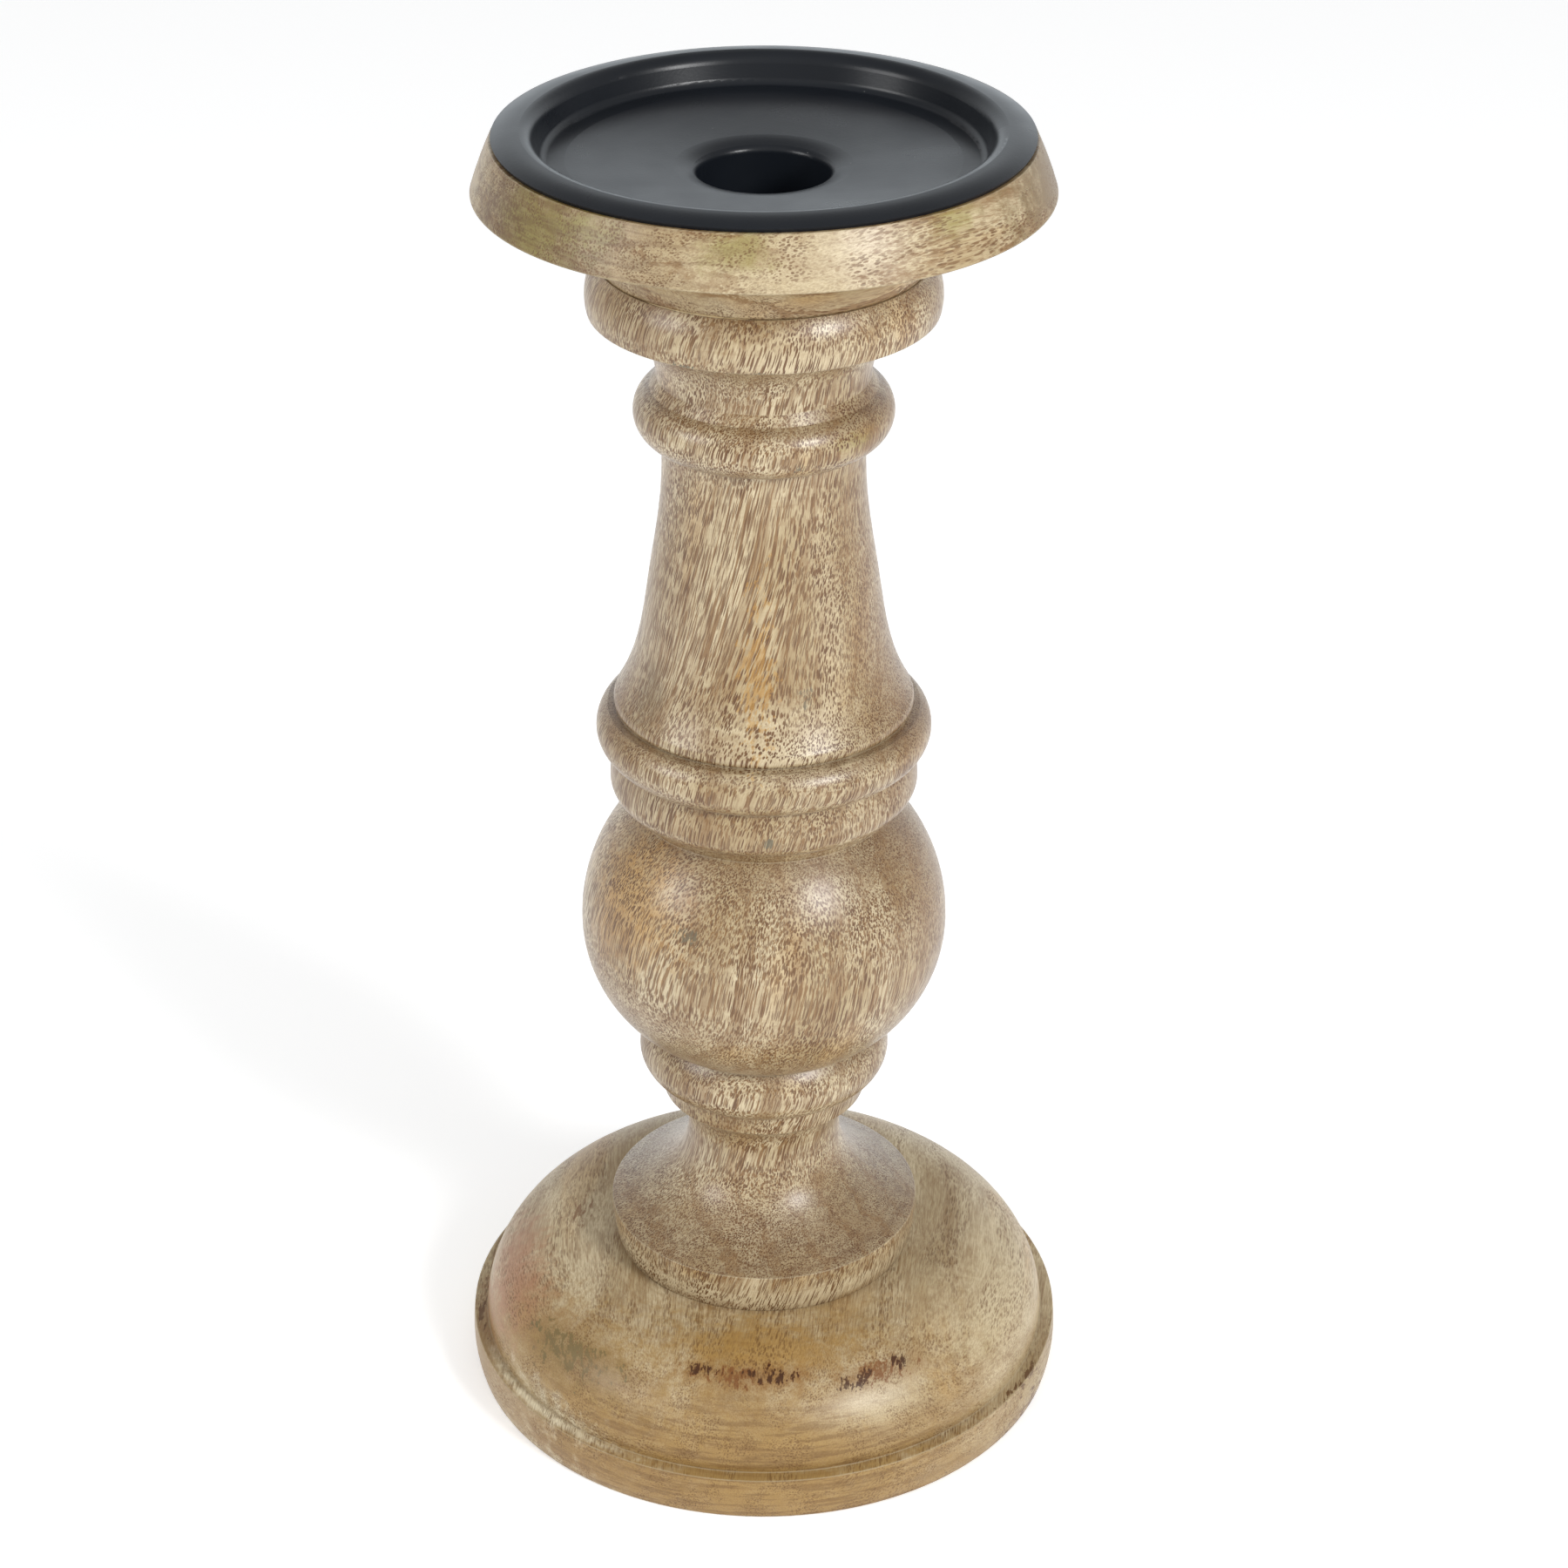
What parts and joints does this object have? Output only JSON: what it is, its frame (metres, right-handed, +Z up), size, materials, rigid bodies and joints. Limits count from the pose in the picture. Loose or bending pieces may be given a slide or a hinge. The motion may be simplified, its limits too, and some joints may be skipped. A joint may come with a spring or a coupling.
{
  "type": "wooden candlestick",
  "caption": "Turned wooden candlestick with a wide domed base, baluster stem with ball and beads, flared dish and a black steel drop-in plate that takes a taper or a pillar candle.",
  "frame": {"origin": "on the stem's axis at table level, under the felt pads", "axes": "+Z up along the stem's axis; the part is turned, so +X and +Y are free, and the dish screws lie along X"},
  "size_m": [0.1374, 0.1374, 0.3],
  "materials": {
    "base_wood": "clear semi-gloss lacquer over cross-grain mango wood",
    "stem_wood": "clear semi-gloss lacquer over mango wood, grain upright",
    "dish_wood": "clear semi-gloss lacquer over mango wood, end grain at front and back",
    "black_steel": "satin black powder coat",
    "zinc_steel": "bright zinc plate",
    "felt": "dark brown wool felt"
  },
  "bodies": {
    "candlestick": {"base": "base_wood", "stem": "stem_wood", "dish": "dish_wood", "stem_screw": "zinc_steel", "stem_screw_washer": "zinc_steel", "dish_screws": "zinc_steel", "felt_pads": "felt"},
    "plate": {"candle_plate": "black_steel"}
  },
  "joints": [
    {"name": "plate_lift", "type": "slide", "parent": "candlestick", "child": "plate", "axis": [0, 0, 1], "range_m": [0, 0.05]}
  ]
}
